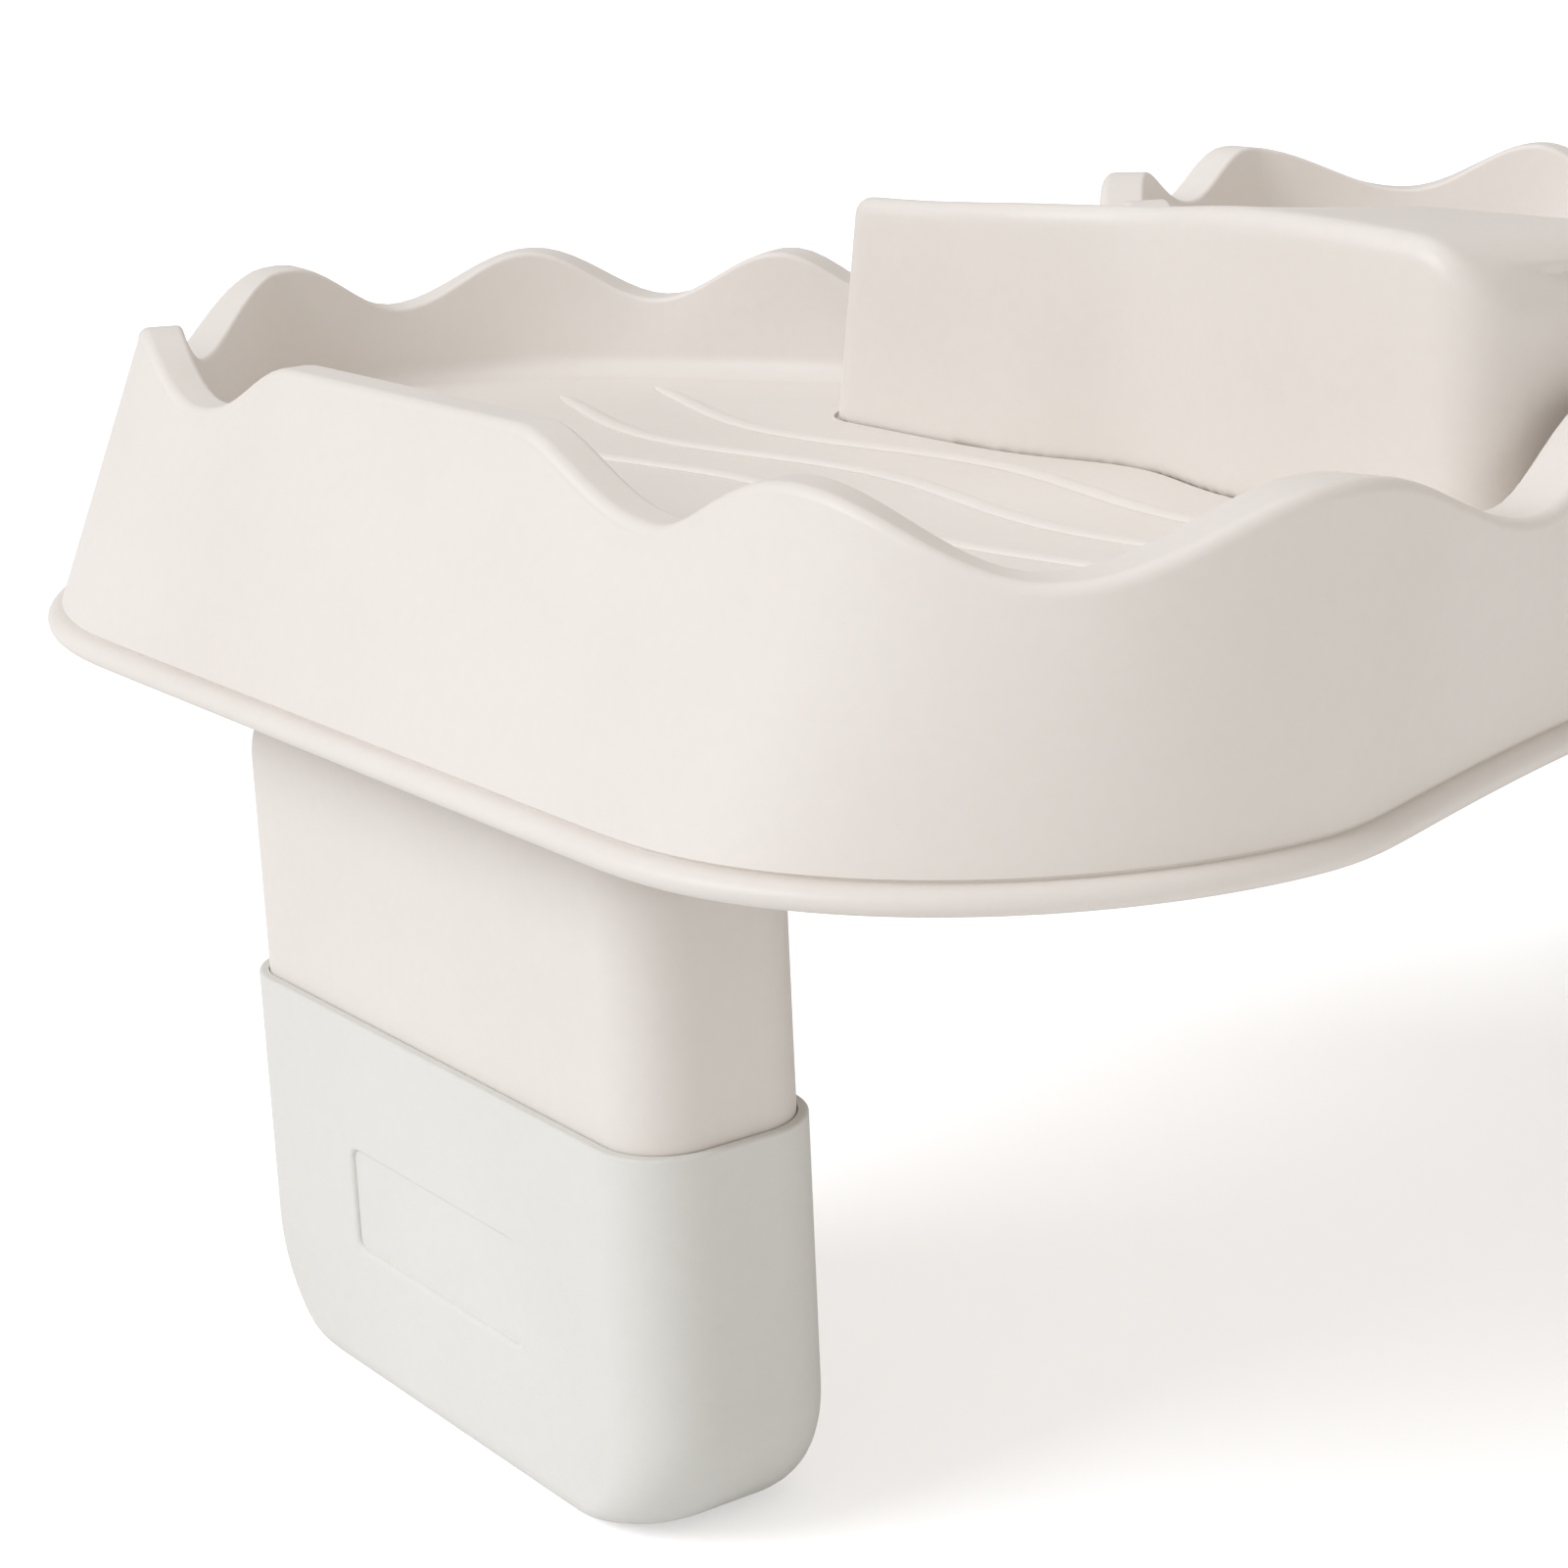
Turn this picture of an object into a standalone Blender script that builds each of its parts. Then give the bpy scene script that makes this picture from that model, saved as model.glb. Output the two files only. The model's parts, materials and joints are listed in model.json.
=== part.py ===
# Hot tub side tray: a bean-shaped tray with a wavy rim and a lift-out holder for two cups.
# It straddles the tub wall on two sliding legs with soft sleeves, locked by knobs underneath.
# Metres, +Z up. The origin is on the ground under the middle of the tray, with the legs standing
# on it. X runs along the tray from leg to leg, and Y runs across it, away from the near side.

import math

import bmesh
import bpy
import numpy as np
from mathutils import Matrix, Vector

# Driving dimensions: the tray's outline at its lip
tray_length = 0.432
tray_width = 0.328
lip_height = 0.1300
corner_along = 0.080
near_corner_across = 0.072
far_corner_across = 0.084
lobe_flat = 0.004
near_waist = 0.0285
far_waist = 0.093
far_early_share = 0.17
far_reach_share = 0.85
waist_power = 2.1
bend_blend = 0.006

# Driving dimensions: rim, wall and bead
end_draft = 0.022
near_draft = 0.0004
far_draft = 0.0030
end_land = 0.008
side_land = 0.0105
tray_wall = 0.0025
rim_round = 0.0012
rim_outer_round = 0.0022
basin_draft = 0.002
basin_fillet = 0.005
floor_height = 0.0315
floor_thick = 0.0025
bead_height = 0.0044
bead_depth = 0.0030
groove_width = 0.0008
groove_depth = 0.0005
basin_centre = 0.095

# Driving dimensions: floor ribs
rib_spacing = 0.019
rib_first = 0.071
rib_width = 0.0042
rib_height = 0.0009
rib_bow = 0.006
rib_wave = 0.004
rib_wave_length = 0.120
rib_wave_shift = 0.010
rib_count = 3
rib_margin = 0.006

# Driving dimensions: cup holder
holder_width = 0.150
holder_near_clearance = 0.0021
holder_far_clearance = 0.0075
holder_far_draft = 0.008
holder_top = 0.0435
holder_crown = 0.005
holder_crown_place = -0.074
holder_crown_reach = 0.110
holder_fall = 0.20
holder_near_fall = 0.07
holder_fall_place = -0.066
holder_fall_reach = 0.012
holder_round = 0.004
holder_far_corner = 0.012
holder_near_corner = 0.012
holder_near_bow = 0.008
holder_near_drop = 0.008
holder_near_bend = 0.016
holder_groove = 0.007
holder_groove_width = 0.030
holder_wall = 0.0025
well_web = 0.004
well_end_wall = 0.00425
well_floor = 0.003
recess_depth = 0.0008
recess_margin = 0.0008
relief_depth = 0.0045
relief_height = 0.002

# Driving dimensions: legs and sleeves
leg_width = 0.136
leg_thick = 0.035
leg_outset = 0.0215
leg_shift = 0.002
leg_gap_below_lip = 0.0040
leg_corner = 0.0115
leg_top_round = 0.014
leg_top_edge = 0.006
leg_wall = 0.003
leg_foot_corner = 0.021
sleeve_wall = 0.002
sleeve_base = 0.003
sleeve_height = 0.0714
sleeve_round = 0.005
panel_width = 0.057
panel_height = 0.0192
panel_depth = 0.0008
panel_top_drop = 0.0253
panel_shift = 0.002
neck_length = 0.024

# Driving dimensions: slide bars, guide plates and locks
bar_past_middle = 0.007
bar_width = 0.032
bar_thick = 0.010
bar_lane = 0.026
bar_corner = 0.004
lane_clearance = 0.0005
plate_length = 0.055
plate_thick = 0.003
plate_margin = 0.013
plate_corner = 0.004
boss_radius = 0.0045
screw_radius = 0.0016
screw_head_radius = 0.0032
screw_head_height = 0.0020
screw_socket_radius = 0.0015
screw_grip = 0.006
lock_boss_radius = 0.009
lock_boss_height = 0.003
insert_radius = 0.0042
insert_wall = 0.0014
stud_radius = 0.0024
knob_radius = 0.015
knob_height = 0.007
knob_lobe_share = 0.08
knob_lobes = 8
knob_edge = 0.0012
knob_socket = 0.004

# Clearances and overruns
gap = 0.0003
overrun = 0.002

# Wave of the rim: degrees round the basin's middle from the end wall, and height above the lip
tab_angle = 29
rim_height = 0.0565
trough_share = 0.809
near_wave_shares = (
    (0, 1),
    (tab_angle, 1),
    (47.5, trough_share),
    (58, 1),
    (70, 0.796),
    (84, 0.981),
    (106, 0.708),
    (118, 0.939),
    (131.5, 0.769),
    (180, 0.769),
)
far_wave_shares = (
    (0, 1),
    (tab_angle, 1),
    (47.5, trough_share),
    (58, 1),
    (70.5, trough_share),
    (86, 1.018),
    (94.5, 0.833),
    (105.5, 1.010),
    (116, 0.833),
    (128, 1.010),
    (139, 0.859),
    (150, 0.982),
    (180, 0.982),
)

# Counts
stations = 120
fine_step = 0.001
round_steps = 28
corner_steps = 5
foot_steps = 7
side_steps = 16
end_steps = 5
rib_steps = 24
screw_steps = 10
socket_steps = 6
knob_lobe_steps = 5

# Places that follow from the sizes above
half_length = tray_length / 2
half_width = tray_width / 2
floor_near_edge = near_waist + near_draft + side_land + basin_draft - half_width
floor_far_edge = half_width - far_waist - far_draft - side_land - basin_draft
floor_top = lip_height + floor_height
floor_under = floor_top - floor_thick
bar_top = floor_under - gap
bar_under = bar_top - bar_thick
plate_top = bar_under - gap
plate_under = plate_top - plate_thick
leg_top = lip_height - leg_gap_below_lip
leg_foot = sleeve_base + gap
leg_middle = half_length - leg_outset - leg_thick / 2
lane_middle = floor_far_edge - lane_clearance - bar_lane - bar_width / 2 - plate_margin
holder_far_end = floor_far_edge - holder_far_clearance - holder_far_draft
holder_near_end = floor_near_edge + holder_near_clearance
holder_middle = (holder_far_end + holder_near_end) / 2
well_radius = (holder_far_end - holder_near_end - well_web - 2 * well_end_wall) / 4
well_spacing = 2 * well_radius + well_web
leg_across = lane_middle + leg_shift
bar_length = leg_middle + neck_length / 2 + bar_past_middle
guide_middle = plate_length / 2 + gap
insert_low = plate_under - lock_boss_height
knob_top = insert_low - gap
knob_low = knob_top - knob_height


def material(name, color, roughness, metallic=0.0):
    made = bpy.data.materials.new(name)
    made.use_nodes = True
    shader = made.node_tree.nodes["Principled BSDF"]
    shader.inputs["Base Color"].default_value = (*color, 1.0)
    shader.inputs["Roughness"].default_value = roughness
    shader.inputs["Metallic"].default_value = metallic
    return made


def add_object(name, vertices, faces, look, smooth_angle=30):
    mesh = bpy.data.meshes.new(name)
    mesh.from_pydata([tuple(v) for v in vertices], [], faces)
    shaped = bmesh.new()
    shaped.from_mesh(mesh)
    bmesh.ops.recalc_face_normals(shaped, faces=shaped.faces)
    shaped.to_mesh(mesh)
    shaped.free()
    mesh.materials.append(look)
    mesh.shade_smooth()
    mesh.set_sharp_from_angle(angle=math.radians(smooth_angle))
    made = bpy.data.objects.new(name, mesh)
    bpy.context.scene.collection.objects.link(made)
    return made


def loft(name, rings, look, strips=False):
    """A closed solid through rings of equal counts. Strips cap rings whose two halves mirror in X."""
    count = len(rings[0])
    vertices = [point for ring in rings for point in ring]
    faces = []
    for level in range(len(rings) - 1):
        low = level * count
        for i in range(count):
            j = (i + 1) % count
            faces.append((low + i, low + j, low + count + j, low + count + i))
    for start in (0, (len(rings) - 1) * count):
        if strips:
            for i in range(count // 2 - 1):
                faces.append(tuple(start + k for k in (i, i + 1, count - 2 - i, count - 1 - i)))
        else:
            faces.append(tuple(range(start, start + count)))
    return add_object(name, vertices, faces, look)


def combine(target, other, operation):
    """Applies a Boolean of another object to the target, and removes the other object."""
    modifier = target.modifiers.new(other.name, "BOOLEAN")
    modifier.operation = operation
    modifier.object = other
    bpy.context.view_layer.update()
    graph = bpy.context.evaluated_depsgraph_get()
    result = bpy.data.meshes.new_from_object(target.evaluated_get(graph))
    target.modifiers.remove(modifier)
    target.data = result
    result.set_sharp_from_angle(angle=math.radians(30))
    bpy.data.objects.remove(other)


def cut(target, cutter):
    combine(target, cutter, "DIFFERENCE")


def fuse(target, added):
    combine(target, added, "UNION")


def circle(x, y, radius, count=round_steps):
    angles = [math.tau * i / count for i in range(count)]
    return [(x + radius * math.cos(a), y + radius * math.sin(a)) for a in angles]


def rounded_box(x_low, x_high, y_low, y_high, radius):
    """Plan outline of a box with round corners."""
    outline = []
    corners = (
        (x_high - radius, y_high - radius, 0),
        (x_low + radius, y_high - radius, 1),
        (x_low + radius, y_low + radius, 2),
        (x_high - radius, y_low + radius, 3),
    )
    for x, y, turn in corners:
        for i in range(corner_steps + 1):
            angle = math.radians(90) * (turn + i / corner_steps)
            outline.append((x + radius * math.cos(angle), y + radius * math.sin(angle)))
    return outline


def prism(name, outline, low, high, look):
    rings = [[(x, y, z) for x, y in outline] for z in (low, high)]
    return loft(name, rings, look)


# Outline of the lip and the wave of the rim


def waist_share(share, early, reach):
    """How far a side has drawn in, from its lobe at 0 to the middle of the tray at 1."""
    late = min(share / reach, 1.0) ** waist_power
    return early * math.sin(math.pi / 2 * share) + (1 - early) * late * late * (3 - 2 * late)


def half_outline():
    """The lip from the middle of the near side, round the end at -X, to the middle of the far side."""
    span = half_length - corner_along - lobe_flat
    points = []
    steps = round(half_length / fine_step)
    for i in range(steps):
        x = -span * i / steps
        share = 1 + x / span
        points.append((x, -half_width + near_waist * waist_share(share, 1.0, 1.0)))
    for i in range(steps):
        angle = math.radians(90) * i / steps
        x = -half_length + corner_along * (1 - math.sin(angle))
        points.append((x, -half_width + near_corner_across * (1 - math.cos(angle))))
    for i in range(steps):
        angle = math.radians(90) * i / steps
        x = -half_length + corner_along * (1 - math.cos(angle))
        points.append((x, half_width - far_corner_across * (1 - math.sin(angle))))
    for i in range(steps + 1):
        x = -span * (1 - i / steps)
        share = 1 + x / span
        points.append((x, half_width - far_waist * waist_share(share, far_early_share, far_reach_share)))
    return points


def even_points(points, count):
    """The closed line through the points, read again at equal steps."""
    closed = np.vstack([points, points[:1]])
    along = np.concatenate([[0.0], np.cumsum(np.linalg.norm(np.diff(closed, axis=0), axis=1))])
    wanted = np.linspace(0.0, along[-1], count, endpoint=False)
    return np.stack([np.interp(wanted, along, closed[:, k]) for k in (0, 1)], axis=1)


def lip_outline(count):
    left = half_outline()
    right = [(-x, y) for x, y in reversed(left[1:-1])]
    rough = np.array(left + right)
    perimeter = np.linalg.norm(np.diff(rough, axis=0), axis=1).sum()
    fine = even_points(rough, round(perimeter / fine_step))
    reach = round(3 * bend_blend / fine_step)
    weights = np.exp(-0.5 * (np.arange(-reach, reach + 1) * fine_step / bend_blend) ** 2)
    weights /= weights.sum()
    soft = sum(w * np.roll(fine, k, axis=0) for k, w in zip(range(-reach, reach + 1), weights))
    return even_points(soft, count)


def inward_normals(points):
    ahead = np.roll(points, -1, axis=0) - np.roll(points, 1, axis=0)
    ahead /= np.linalg.norm(ahead, axis=1)[:, None]
    return np.stack([ahead[:, 1], -ahead[:, 0]], axis=1)


def wave_height(x, y):
    """Height of the rim above the lip at a place on the rim."""
    angle = math.degrees(math.atan2(abs(y), abs(x) - half_length + basin_centre))
    wave = near_wave_shares if y < 0 else far_wave_shares
    for (start, low), (end, high) in zip(wave, wave[1:]):
        if start <= angle <= end:
            turn = math.pi * (angle - start) / (end - start)
            return rim_height * (low + (high - low) * (1 - math.cos(turn)) / 2)
    return rim_height * wave[-1][1]


def tray_shell(look):
    lip = lip_outline(stations)
    normals = inward_normals(lip)
    towards_end = np.clip((np.abs(lip[:, 0]) - half_length + corner_along) / corner_along, 0, 1)
    near_outer = near_draft + (end_draft - near_draft) * towards_end**2
    far_outer = far_draft + (end_draft - far_draft) * (1 - (1 - towards_end) ** 2)
    outer = np.where(lip[:, 1] < 0, near_outer, far_outer)
    inner = outer + side_land + (end_land - side_land) * towards_end**2
    middle = lip + normals * ((outer + inner) / 2)[:, None]
    rim = lip_height + np.array([wave_height(x, y) for x, y in middle])
    flat = np.ones(stations)
    base = lip_height * flat

    def ring(inset, height):
        plan = lip + normals * (inset * flat)[:, None]
        return [(x, y, z) for (x, y), z in zip(plan, height * flat)]

    foot = inner + basin_draft
    half_bead = bead_height / 2
    bead_top = base + bead_height
    wall_base = bead_top + groove_width
    half_turned = 1 - math.sin(math.radians(45))
    bead_in = 1 - math.sin(math.radians(60))
    bead_up = math.cos(math.radians(60))
    rings = [
        ring(foot + basin_fillet, floor_top),
        ring(foot + basin_fillet * half_turned, floor_top + basin_fillet * half_turned),
        ring(foot, floor_top + basin_fillet),
        ring(inner + rim_round / 2, rim - rim_round),
        ring(inner - rim_round / 2, rim),
        ring(outer + rim_outer_round, rim),
        ring(outer + rim_outer_round / 4, rim - rim_outer_round / 3),
        ring(outer, rim - rim_outer_round),
        ring(bead_depth, wall_base),
        ring(bead_depth + groove_depth, bead_top + groove_width / 2),
        ring(bead_depth, bead_top),
        ring(bead_depth * bead_in, base + half_bead * (1 + bead_up)),
        ring(0, base + half_bead),
        ring(bead_depth * bead_in, base + half_bead * (1 - bead_up)),
        ring(bead_depth, base),
        ring(bead_depth + tray_wall, base),
        ring(bead_depth + tray_wall, bead_top),
        ring(outer + tray_wall, rim - tray_wall),
        ring(inner - tray_wall, rim - tray_wall),
        ring(inner + basin_draft - tray_wall, floor_under + overrun / 2),
        ring(inner + basin_draft - tray_wall + overrun / 2, floor_under),
    ]
    return loft("tray_shell", rings, look)


def rib_place(index, y, reach):
    """How far out a floor rib lies at y: a gentle wave that turns in at the far end."""
    middle = half_length - rib_first - rib_spacing * (index + 1)
    turned = (y + rib_wave_shift * index) / rib_wave_length
    return middle - rib_wave * math.cos(2 * math.pi * turned) - rib_bow * max(y / reach, 0.0) ** 4


def floor_rib(side, index, look):
    """One low wavy rib across a basin's floor."""
    reach = half_width - near_corner_across / 2 - side_land - rib_margin * (index + 1)
    left = []
    right = []
    for i in range(rib_steps + 1):
        y = reach * (2 * i / rib_steps - 1)
        x = rib_place(index, y, reach)
        left.append((side * (x - rib_width / 2), y))
        right.append((side * (x + rib_width / 2), y))
    outline = left + list(reversed(right))
    return prism("rib", outline, floor_top - floor_thick / 2, floor_top + rib_height, look)


# Cup holder


def near_bow(x):
    """How far the cup holder's near end reaches out, so that it follows the tray's wall."""
    return holder_near_bow * (2 * x / holder_width) ** 2


def holder_outline(inset, drawn_out=0.0, steps=corner_steps):
    """Plan of the cup holder, with round corners, a soft waist in each side and a bowed near end."""
    x_high = holder_width / 2
    y_high = holder_far_end + drawn_out
    points = []
    small = holder_far_corner - inset
    large = holder_near_corner - inset
    top = y_high - holder_far_corner
    bottom = holder_near_end + holder_near_corner
    for i in range(steps + 1):
        angle = math.radians(90) * i / steps
        x = x_high - holder_far_corner + small * math.sin(angle)
        points.append((x, top + small * math.cos(angle)))
    for i in range(1, side_steps):
        y = top + (bottom - holder_near_bow - top) * i / side_steps
        reach = abs(y - holder_middle) / holder_groove_width
        dent = holder_groove * math.exp(-2 * reach * reach)
        points.append((x_high - inset - dent, y))
    for i in range(2 * steps + 1):
        angle = math.radians(90) * i / (2 * steps)
        x = x_high - holder_near_corner + large * math.cos(angle)
        points.append((x, bottom - large * math.sin(angle) - near_bow(x)))
    for i in range(1, end_steps):
        x = (x_high - holder_near_corner) * (1 - i / end_steps)
        points.append((x, bottom - large - near_bow(x)))
    return points + [(-x, y) for x, y in reversed(points)]


def holder_height(x, y):
    """Height of the cup holder's top, which falls away from the -X side and at the near end."""
    bend = max(holder_near_end + holder_near_bend - y - near_bow(x), 0.0) / holder_near_bend
    away = min(abs(y - holder_crown_place) / holder_crown_reach, 1.0)
    crown = holder_crown * (1 + math.cos(math.pi * away)) / 2
    far_share = 0.5 + 0.5 * math.tanh((y - holder_fall_place) / holder_fall_reach)
    fall = holder_near_fall + (holder_fall - holder_near_fall) * far_share
    return floor_top + holder_top + crown - fall * (x + holder_width / 2) - holder_near_drop * bend * bend


def holder_ring(inset, drop):
    return [(x, y, holder_height(x, y) - drop) for x, y in holder_outline(inset)]


def cup_holder(look):
    seat = floor_top - recess_depth + gap
    high = floor_top + holder_top + holder_crown + overrun
    rings = [[(x, y, seat) for x, y in holder_outline(0, holder_far_draft)]]
    rings.append(holder_ring(0, holder_round))
    for angle in (30, 60, 90):
        turn = math.radians(angle)
        rings.append(holder_ring(holder_round * (1 - math.cos(turn)), holder_round * (1 - math.sin(turn))))
    holder = loft("cup_holder", rings, look, strips=True)
    hollow_rings = [
        [(x, y, seat - overrun) for x, y in holder_outline(holder_wall, holder_far_draft)],
        holder_ring(holder_wall, holder_round + holder_wall / 2),
        holder_ring(holder_round, holder_wall),
    ]
    hollow = loft("hollow", hollow_rings, look, strips=True)
    wells = [holder_middle + side * well_spacing / 2 for side in (-1, 1)]
    for y in wells:
        cut(hollow, prism("core", circle(0, y, well_radius + holder_wall), seat - 2 * overrun, high, look))
    cut(holder, hollow)
    toe_low = holder_near_end - 2 * holder_near_bow
    toe = rounded_box(-holder_width, holder_width, toe_low, holder_near_end + relief_depth, gap)
    cut(holder, prism("relief", toe, seat - overrun, floor_top + relief_height, look))
    for y in wells:
        cut(holder, prism("well", circle(0, y, well_radius), seat + well_floor, high, look))
    return holder


def cut_recess(tray, look):
    """A shallow recess in the tray's floor, in which the cup holder stands."""
    near_limit = holder_near_end + relief_depth - gap
    outline = [(x, max(y, near_limit)) for x, y in holder_outline(-recess_margin, holder_far_draft)]
    cut(tray, prism("recess", outline, floor_top - recess_depth, floor_top + overrun, look))


# Legs and sleeves


def leg_block(name, middle, grow, low, high, foot_corner, top_round, foot_round, look):
    """A flat leg: its plan has round corners, its foot has large corners, and its ends are rounded."""
    half_thick = leg_thick / 2 + grow
    half_wide = leg_width / 2 + grow
    corner = leg_corner + grow
    rings = []

    def plan(inset_wide, inset_all, z):
        x_low = middle - half_thick + inset_all
        x_high = middle + half_thick - inset_all
        y_high = half_wide - inset_wide
        radius = min(corner - inset_all, half_thick - inset_all - gap)
        outline = rounded_box(x_low, x_high, leg_across - y_high, leg_across + y_high, radius)
        rings.append([(x, y, z) for x, y in outline])

    for i in range(foot_steps + 1):
        angle = math.radians(90) * i / foot_steps
        rise = foot_corner * (1 - math.cos(angle))
        inset_wide = foot_corner * (1 - math.sin(angle))
        lower = max(foot_round - rise, 0.0)
        inset_all = foot_round - math.sqrt(max(foot_round * foot_round - lower * lower, 0.0))
        plan(inset_wide + inset_all, inset_all, low + rise)
    if top_round:
        for i in range(corner_steps + 1):
            angle = math.radians(90) * i / corner_steps
            turned = 1 - math.cos(angle)
            plan(top_round * turned, leg_top_edge * turned, high - top_round * (1 - math.sin(angle)))
    else:
        plan(0.0, 0.0, high)
    return loft(name, rings, look)


def slab(name, x_range, y_range, z_range, radius, look):
    """A box with round corners in plan. The ends of its X range can come in either order."""
    outline = rounded_box(min(x_range), max(x_range), *y_range, radius)
    return prism(name, outline, *z_range, look)


def leg(side, word, look):
    """A hollow leg with a solid stem on top, which carries the slide bar."""
    middle = side * leg_middle
    ends = (leg_foot, leg_top)
    made = leg_block(f"{word}_leg", middle, 0.0, *ends, leg_foot_corner, leg_top_round, leg_wall, look)
    ends = (leg_foot - leg_wall, leg_top - leg_top_round)
    room_corner = leg_foot_corner - leg_wall
    cut(made, leg_block("room", middle, -leg_wall, *ends, room_corner, 0.0, 0.0, look))
    stem_x = (middle - neck_length / 2, middle + neck_length / 2)
    stem_z = (leg_top - leg_wall, bar_under - gap)
    fuse(made, slab("stem", stem_x, lane_range(side), stem_z, bar_corner, look))
    return made


def sleeve(side, word, look):
    """A soft sleeve over the leg's foot, with a bare recessed panel on its outer face."""
    middle = side * leg_middle
    outer_corner = leg_foot_corner + sleeve_wall
    room_corner = leg_foot_corner + gap
    ends = (0.0, sleeve_height)
    made = leg_block(f"{word}_sleeve", middle, sleeve_wall, *ends, outer_corner, 0.0, sleeve_round, look)
    ends = (sleeve_base, sleeve_height + overrun)
    cut(made, leg_block("room", middle, gap, *ends, room_corner, 0.0, leg_wall, look))
    face = side * (leg_middle + leg_thick / 2 + sleeve_wall)
    panel_low = sleeve_height - panel_top_drop - panel_height
    panel_middle = lane_middle + panel_shift
    panel = slab(
        "panel",
        (face - side * panel_depth, face + side * overrun),
        (panel_middle - panel_width / 2, panel_middle + panel_width / 2),
        (panel_low, panel_low + panel_height),
        panel_depth,
        look,
    )
    cut(made, panel)
    return made


# Slide bars, guide plates, screws and locks


def lane_range(side, margin=0.0):
    """The Y range of one leg's lane, with a margin on both sides."""
    lane = lane_middle + side * bar_lane
    reach = bar_width / 2 + margin
    return (lane - reach, lane + reach)


def screw(name, x, y, head_low, direction, length, look):
    """A socket-head screw: its head at one end, its shank along Z in the given direction."""
    head_high = head_low + screw_head_height
    start = head_high if direction > 0 else head_low
    outer = head_low if direction > 0 else head_high
    head_ring = circle(x, y, screw_head_radius, screw_steps)
    shank_ring = circle(x, y, screw_radius, screw_steps)
    rings = [
        [(px, py, outer) for px, py in head_ring],
        [(px, py, start) for px, py in head_ring],
        [(px, py, start) for px, py in shank_ring],
        [(px, py, start + direction * length) for px, py in shank_ring],
    ]
    made = loft(name, rings, look)
    ends = (outer - direction * overrun, outer + direction * screw_head_height / 2)
    socket_outline = circle(x, y, screw_socket_radius, socket_steps)
    cut(made, prism("socket", socket_outline, min(ends), max(ends), look))
    return made


def slide_bar(side, word, look):
    """The flat bar that a leg slides on, with a counterbored hole for each of its two screws."""
    outer = side * (leg_middle + neck_length / 2)
    x_range = (outer, outer - side * bar_length)
    return slab(f"{word}_slide_bar", x_range, lane_range(side), (bar_under, bar_top), bar_corner, look)


def join_bar(side, word, bar, carrier, looks):
    """Screws the slide bar to its leg."""
    x = side * leg_middle
    lane = lane_middle + side * bar_lane
    head_low = bar_top - gap - screw_head_height
    reach = bar_thick + screw_grip
    for number, step in ((1, -1), (2, 1)):
        y = lane + step * bar_width / 4
        head_room = circle(x, y, screw_head_radius + gap)
        shank_room = circle(x, y, screw_radius + gap)
        cut(bar, prism("counterbore", head_room, head_low - gap, bar_top + overrun, looks["tray"]))
        cut(bar, prism("hole", shank_room, bar_under - overrun, bar_top, looks["tray"]))
        cut(carrier, prism("socket", shank_room, head_low - reach - gap, bar_under + overrun, looks["tray"]))
        screw(f"{word}_bar_screw_{number}", x, y, head_low, -1, reach, looks["steel"])


def guide_plate(side, word, look):
    """The plate that holds the slide bar up, with a boss for its threaded insert."""
    x = side * guide_middle
    y = lane_middle + side * bar_lane
    x_range = (x - plate_length / 2, x + plate_length / 2)
    z_range = (plate_under, plate_top)
    made = slab(f"{word}_guide_plate", x_range, lane_range(side, plate_margin), z_range, plate_corner, look)
    boss = circle(x, y, lock_boss_radius)
    fuse(made, prism("lock_boss", boss, insert_low, plate_under + overrun / 2, look))
    bore = circle(x, y, insert_radius + gap)
    cut(made, prism("bore", bore, insert_low - overrun, plate_top + overrun, look))
    return made


def join_plate(side, word, plate, tray, looks):
    """Screws the guide plate to four bosses under the tray's floor."""
    x_reach = plate_length / 2 - boss_radius - gap
    y_reach = bar_width / 2 + plate_margin / 2 + gap
    grip = plate_thick + screw_grip
    number = 0
    for step_x in (-1, 1):
        for step_y in (-1, 1):
            number += 1
            x = side * guide_middle + step_x * x_reach
            y = lane_middle + side * bar_lane + step_y * y_reach
            boss = circle(x, y, boss_radius, screw_steps)
            room = circle(x, y, screw_radius + gap, screw_steps)
            fuse(tray, prism("boss", boss, plate_top + gap, floor_under + floor_thick / 2, looks["tray"]))
            cut(tray, prism("socket", room, plate_top - overrun, plate_under + grip + 2 * gap, looks["tray"]))
            cut(plate, prism("hole", room, plate_under - overrun, plate_top + overrun, looks["tray"]))
            head_low = plate_under - gap - screw_head_height
            screw(f"{word}_plate_screw_{number}", x, y, head_low, 1, grip, looks["steel"])


def threaded_insert(side, word, look):
    x = side * guide_middle
    y = lane_middle + side * bar_lane
    made = prism(f"{word}_threaded_insert", circle(x, y, insert_radius), insert_low, plate_top, look)
    thread = circle(x, y, insert_radius - insert_wall)
    cut(made, prism("thread", thread, insert_low - overrun, plate_top + overrun, look))
    return made


def lock_knob(side, word, look):
    """A knob with finger lobes and a socket for its stud."""
    x_middle = side * guide_middle
    y_middle = lane_middle + side * bar_lane
    outline = []
    points = knob_lobe_steps * knob_lobes
    for i in range(points):
        angle = math.tau * i / points
        radius = knob_radius * (1 - knob_lobe_share + knob_lobe_share * math.cos(knob_lobes * angle))
        outline.append((radius * math.cos(angle), radius * math.sin(angle)))
    end_share = 1 - knob_edge / knob_radius
    levels = (
        (knob_low, end_share),
        (knob_low + knob_edge, 1),
        (knob_top - knob_edge, 1),
        (knob_top, end_share),
    )
    rings = []
    for z, share in levels:
        rings.append([(x_middle + x * share, y_middle + y * share, z) for x, y in outline])
    made = loft(f"{word}_lock_knob", rings, look)
    socket = circle(x_middle, y_middle, stud_radius + gap)
    cut(made, prism("socket", socket, knob_top - knob_socket - gap, knob_top + overrun, look))
    return made


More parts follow.
